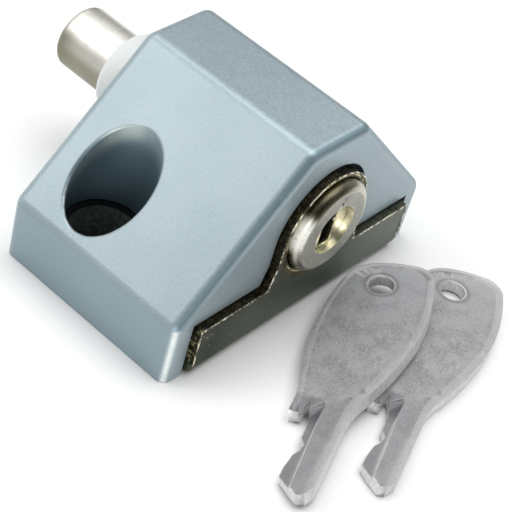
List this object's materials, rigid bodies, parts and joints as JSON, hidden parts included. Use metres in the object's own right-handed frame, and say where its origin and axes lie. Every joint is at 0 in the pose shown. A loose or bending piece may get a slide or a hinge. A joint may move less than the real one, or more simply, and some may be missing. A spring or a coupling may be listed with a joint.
{
  "type": "window sash lock",
  "caption": "Push-to-lock window sash lock: sloped die-cast case, round sliding bolt in a nylon collar, push button with a keyed cylinder, and loose keys beside it.",
  "frame": {"origin": "middle of the housing's footprint on the face that is screwed to the sash", "axes": "+Z out of the sash; the bolt slides along X and its nose points to -X; the button and keyhole face +X; +Y across the lock"},
  "size_m": [0.0772, 0.0538, 0.0294],
  "materials": {
    "housing_paint": "satin silver-blue powder coat over a die casting",
    "plate_steel": "dark zinc-plated steel with sheared edges",
    "zinc_screw": "bright zinc plate",
    "white_nylon": "milky white moulded nylon",
    "satin_nickel": "satin nickel plate",
    "bright_nickel": "turned and nickel plated",
    "plug_nickel": "nickel-plated brass, worn at the keyway",
    "wafer_brass": "stamped brass",
    "spring_steel": "drawn spring wire and strip",
    "key_metal": "stamped and milled nickel silver, dull grey"
  },
  "bodies": {
    "case": {"housing": "housing_paint", "base_plate": "plate_steel", "plate_screws": "zinc_screw", "bolt_bush": "white_nylon", "travel_pin": "zinc_screw", "return_spring": "spring_steel"},
    "plunger": {"lock_barrel": "satin_nickel", "bolt": "bright_nickel", "bolt_cross_pin": "zinc_screw", "catch_leaf": "spring_steel", "catch_rivet": "zinc_screw", "plug_clip": "spring_steel"},
    "plug": {"key_plug": "plug_nickel", "release_cam": "zinc_screw", "wafer_spring_1": "spring_steel", "wafer_spring_2": "spring_steel", "wafer_spring_3": "spring_steel", "wafer_spring_4": "spring_steel"},
    "wafer_1": {"wafer_1": "wafer_brass"},
    "wafer_2": {"wafer_2": "wafer_brass"},
    "wafer_3": {"wafer_3": "wafer_brass"},
    "wafer_4": {"wafer_4": "wafer_brass"},
    "key_1": {"key_1": "key_metal"},
    "key_2": {"key_2": "key_metal"}
  },
  "joints": [
    {"name": "plunger_slide", "type": "slide", "parent": "case", "child": "plunger", "axis": [1, 0, 0], "range_m": [0, 0.009], "deforming": ["return_spring", "catch_leaf"]},
    {"name": "key_turn", "type": "hinge", "parent": "plunger", "child": "plug", "pos_m": [0.0168, 0, 0.016], "axis": [1, 0, 0], "range_deg": [0, 90]},
    {"name": "wafer_1_slide", "type": "slide", "parent": "plug", "child": "wafer_1", "axis": [0, 0, 1], "range_m": [0, 0.0007], "deforming": ["wafer_spring_1"]},
    {"name": "wafer_2_slide", "type": "slide", "parent": "plug", "child": "wafer_2", "axis": [0, 0, 1], "range_m": [0, 0.0007], "deforming": ["wafer_spring_2"]},
    {"name": "wafer_3_slide", "type": "slide", "parent": "plug", "child": "wafer_3", "axis": [0, 0, 1], "range_m": [0, 0.0007], "deforming": ["wafer_spring_3"]},
    {"name": "wafer_4_slide", "type": "slide", "parent": "plug", "child": "wafer_4", "axis": [0, 0, 1], "range_m": [0, 0.0007], "deforming": ["wafer_spring_4"]},
    {"name": "key_1_lift", "type": "slide", "parent": "case", "child": "key_1", "axis": [0.5, 0, 0.866], "range_m": [0, 0.03]},
    {"name": "key_2_slide", "type": "slide", "parent": "case", "child": "key_2", "axis": [0.9945, 0, 0.1045], "range_m": [0, 0.03]}
  ]
}
